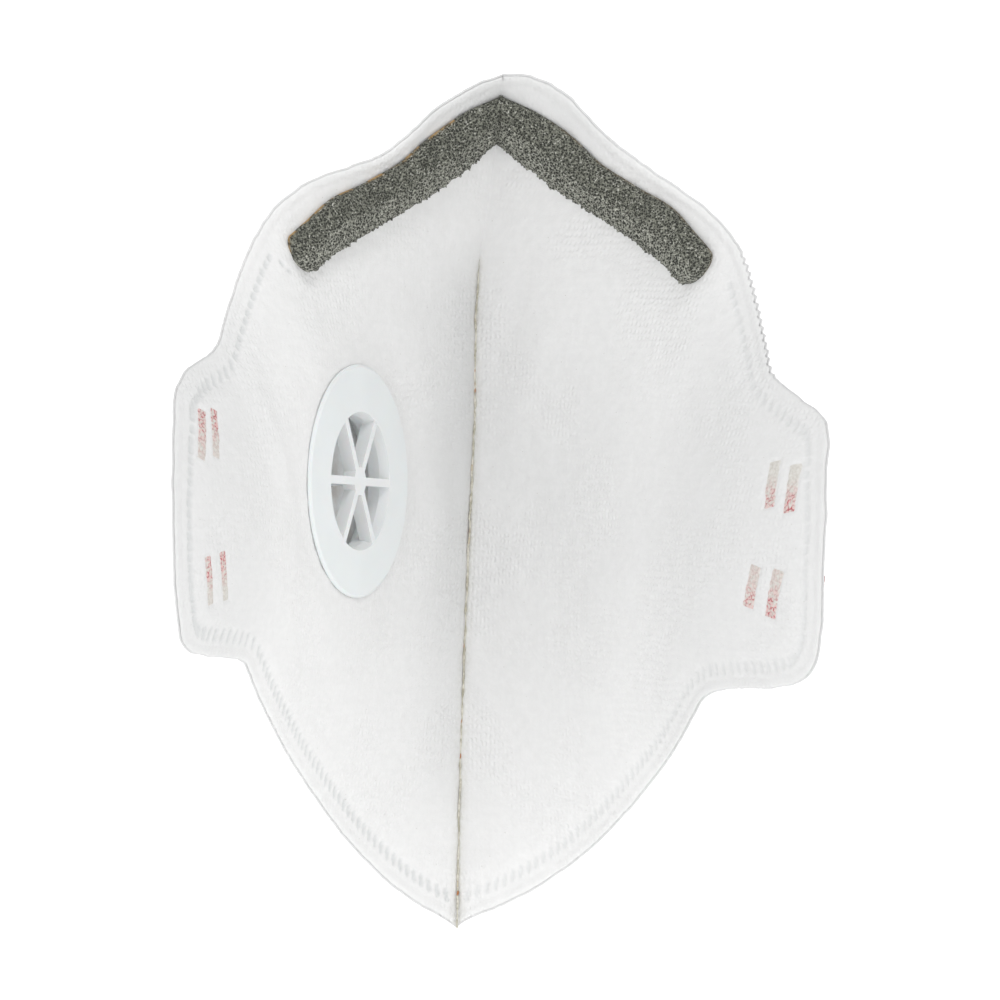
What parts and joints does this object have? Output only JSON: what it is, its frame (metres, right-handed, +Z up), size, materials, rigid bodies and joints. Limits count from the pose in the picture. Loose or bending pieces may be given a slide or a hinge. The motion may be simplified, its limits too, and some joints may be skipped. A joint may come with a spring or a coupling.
{
  "type": "dust mask",
  "caption": "Disposable cup-shaped dust mask of two welded cloth halves, opened into a V, with nose foam, nose clip, elastic headbands and a round exhalation valve.",
  "frame": {"origin": "centre of the open side, on the mask's mid plane, at the height where the ridge stands furthest forward", "axes": "+Z up toward the nose, +Y forward out of the face, +X toward the wearer's right-hand half, the one without the valve"},
  "size_m": [0.1166, 0.0974, 0.158],
  "materials": {
    "lining_nonwoven": "soft white nonwoven, point bonded",
    "filter_media": "fine white melt-blown fibre",
    "support_nonwoven": "fluffy white through-air nonwoven",
    "cover_nonwoven": "smooth white nonwoven, point bonded",
    "fused_nonwoven": "pressed and fused white nonwoven",
    "headband_weld": "fused cloth with the red strap showing through",
    "nose_foam": "dark grey open-cell foam",
    "nose_clip": "bare soft aluminium strip",
    "elastic_webbing": "red woven elastic",
    "valve_plastic": "white injection-moulded plastic",
    "diaphragm_rubber": "thin translucent grey rubber"
  },
  "bodies": {
    "left_half": {"left_inner_lining": "lining_nonwoven", "left_filter_inner": "filter_media", "left_filter_outer": "filter_media", "left_support_layer": "support_nonwoven", "left_outer_cover": "cover_nonwoven", "left_edge_weld": "fused_nonwoven", "left_headband_welds": "headband_weld", "valve_inner_flange": "valve_plastic", "valve_body": "valve_plastic", "valve_pin": "valve_plastic", "valve_cover": "valve_plastic", "centre_seam": "fused_nonwoven", "nose_foam": "nose_foam", "nose_clip": "nose_clip", "upper_headband": "elastic_webbing", "lower_headband": "elastic_webbing"},
    "right_half": {"right_inner_lining": "lining_nonwoven", "right_filter_inner": "filter_media", "right_filter_outer": "filter_media", "right_support_layer": "support_nonwoven", "right_outer_cover": "cover_nonwoven", "right_edge_weld": "fused_nonwoven", "right_headband_welds": "headband_weld"},
    "diaphragm": {"valve_diaphragm": "diaphragm_rubber"}
  },
  "joints": [
    {"name": "centre_fold", "type": "hinge", "parent": "left_half", "child": "right_half", "pos_m": [0, 0.029, 0], "axis": [0, -0.0841, 0.9965], "range_deg": [-24, 20], "stiffness_Nm_per_rad": 0.004, "deforming": ["centre_seam", "nose_foam", "nose_clip", "upper_headband", "lower_headband"]},
    {"name": "diaphragm_lift", "type": "slide", "parent": "left_half", "child": "diaphragm", "axis": [-0.8916, 0.4516, -0.0346], "range_m": [0, 0.0018], "stiffness_N_per_m": 20}
  ]
}
